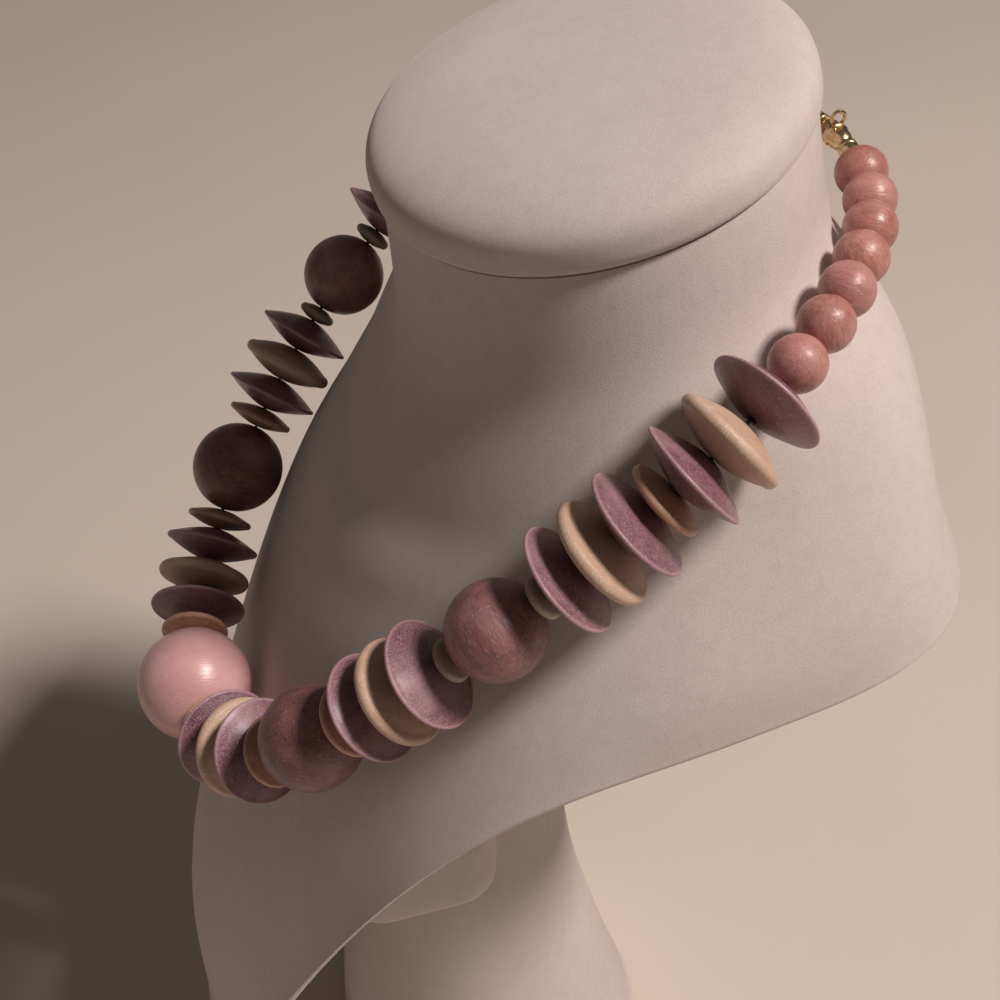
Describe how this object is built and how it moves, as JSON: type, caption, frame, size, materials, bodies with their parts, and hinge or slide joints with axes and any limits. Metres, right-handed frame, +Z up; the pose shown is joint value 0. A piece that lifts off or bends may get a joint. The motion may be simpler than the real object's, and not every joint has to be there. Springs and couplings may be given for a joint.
{
  "type": "beaded necklace on neck bust",
  "caption": "Necklace of graduated wooden balls and lens-shaped discs with a small metal clasp, lying round a velvet-covered neck bust on a flared pedestal",
  "frame": {"origin": "on the surface that the pedestal stands on, at the middle of the bounding box seen from above", "axes": "+Z up, -Y the way the bust faces, +X to the wearer's left; the clasp is behind the neck on the +Y side"},
  "size_m": [0.183, 0.1927, 0.3455],
  "materials": {
    "front_ball": "satin lacquer",
    "large_ball": "satin lacquer",
    "medium_ball": "satin lacquer",
    "small_ball": "satin lacquer",
    "mauve_disc": "satin lacquer",
    "pale_disc": "satin lacquer",
    "tan_disc": "satin lacquer",
    "spacer": "satin lacquer",
    "thread": "matt",
    "metal": "polished",
    "velvet": "short pile"
  },
  "bodies": {
    "root": {"bust_body": "velvet", "bust_cap": "velvet", "clasp": "metal", "front_ball": "front_ball", "left_01_tan_disc": "tan_disc", "left_02_mauve_disc": "mauve_disc", "left_03_pale_disc": "pale_disc", "left_04_mauve_disc": "mauve_disc", "left_05_tan_disc": "tan_disc", "left_06_large_ball": "large_ball", "left_07_tan_disc": "tan_disc", "left_08_mauve_disc": "mauve_disc", "left_09_pale_disc": "pale_disc", "left_10_mauve_disc": "mauve_disc", "left_11_spacer": "spacer", "left_12_medium_ball": "medium_ball", "left_13_spacer": "spacer", "left_14_mauve_disc": "mauve_disc", "left_15_pale_disc": "pale_disc", "left_16_mauve_disc": "mauve_disc", "left_17_tan_disc": "tan_disc", "left_18_mauve_disc": "mauve_disc", "left_19_pale_disc": "pale_disc", "left_20_mauve_disc": "mauve_disc", "left_cord_end": "metal", "left_small_balls": "small_ball", "pedestal": "velvet", "right_01_tan_disc": "tan_disc", "right_02_mauve_disc": "mauve_disc", "right_03_pale_disc": "pale_disc", "right_04_mauve_disc": "mauve_disc", "right_05_tan_disc": "tan_disc", "right_06_large_ball": "large_ball", "right_07_tan_disc": "tan_disc", "right_08_mauve_disc": "mauve_disc", "right_09_pale_disc": "pale_disc", "right_10_mauve_disc": "mauve_disc", "right_11_spacer": "spacer", "right_12_medium_ball": "medium_ball", "right_13_spacer": "spacer", "right_14_mauve_disc": "mauve_disc", "right_15_pale_disc": "pale_disc", "right_16_mauve_disc": "mauve_disc", "right_17_tan_disc": "tan_disc", "right_18_mauve_disc": "mauve_disc", "right_19_pale_disc": "pale_disc", "right_20_mauve_disc": "mauve_disc", "right_cord_end": "metal", "right_small_balls": "small_ball", "thread": "thread"}
  },
  "joints": []
}
